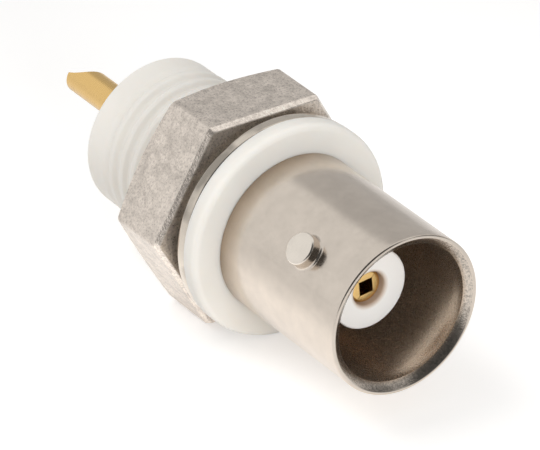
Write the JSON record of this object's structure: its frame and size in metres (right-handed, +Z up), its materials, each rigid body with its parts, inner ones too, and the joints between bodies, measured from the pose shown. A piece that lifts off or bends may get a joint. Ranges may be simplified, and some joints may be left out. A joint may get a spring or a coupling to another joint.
{
  "type": "insulated bulkhead bayonet coaxial jack",
  "caption": "Insulated bulkhead coaxial jack with a bayonet barrel, slotted gold socket, threaded plastic bush, hex nut, washer and solder cup.",
  "frame": {"origin": "centre of the flange's rear face, which seats on the front of the panel", "axes": "+X along the mating axis towards the mouth, +Z up with the nut's flats level, -Y towards the lug side seen from the front left"},
  "size_m": [0.0324, 0.0146, 0.013],
  "materials": {
    "shell_nickel": "satin nickel plate on turned brass",
    "bush_plastic": "matt white moulded plastic",
    "dielectric_ptfe": "smooth white fluoropolymer",
    "contact_gold": "gold plate on spring bronze",
    "washer_nickel": "bright nickel plate on brass",
    "nut_nickel": "dull mottled nickel plate on brass"
  },
  "bodies": {
    "jack": {"jack_shell": "shell_nickel", "insulating_bush": "bush_plastic", "front_dielectric": "dielectric_ptfe", "rear_dielectric": "dielectric_ptfe", "centre_contact": "contact_gold"},
    "washer": {"washer": "washer_nickel"},
    "nut": {"hex_nut": "nut_nickel"}
  },
  "joints": [
    {"name": "nut_turn", "type": "hinge", "parent": "jack", "child": "washer", "pos_m": [0, 0, 0], "axis": [-1, 0, 0], "range_deg": [-217, 3600]},
    {"name": "nut_travel", "type": "slide", "parent": "washer", "child": "nut", "axis": [-1, 0, 0], "range_m": [-0.00064, 0.01059]}
  ],
  "couplings": [
    {"joint": "nut_travel", "follows": "nut_turn", "m_per_rad": 0.00016844}
  ]
}
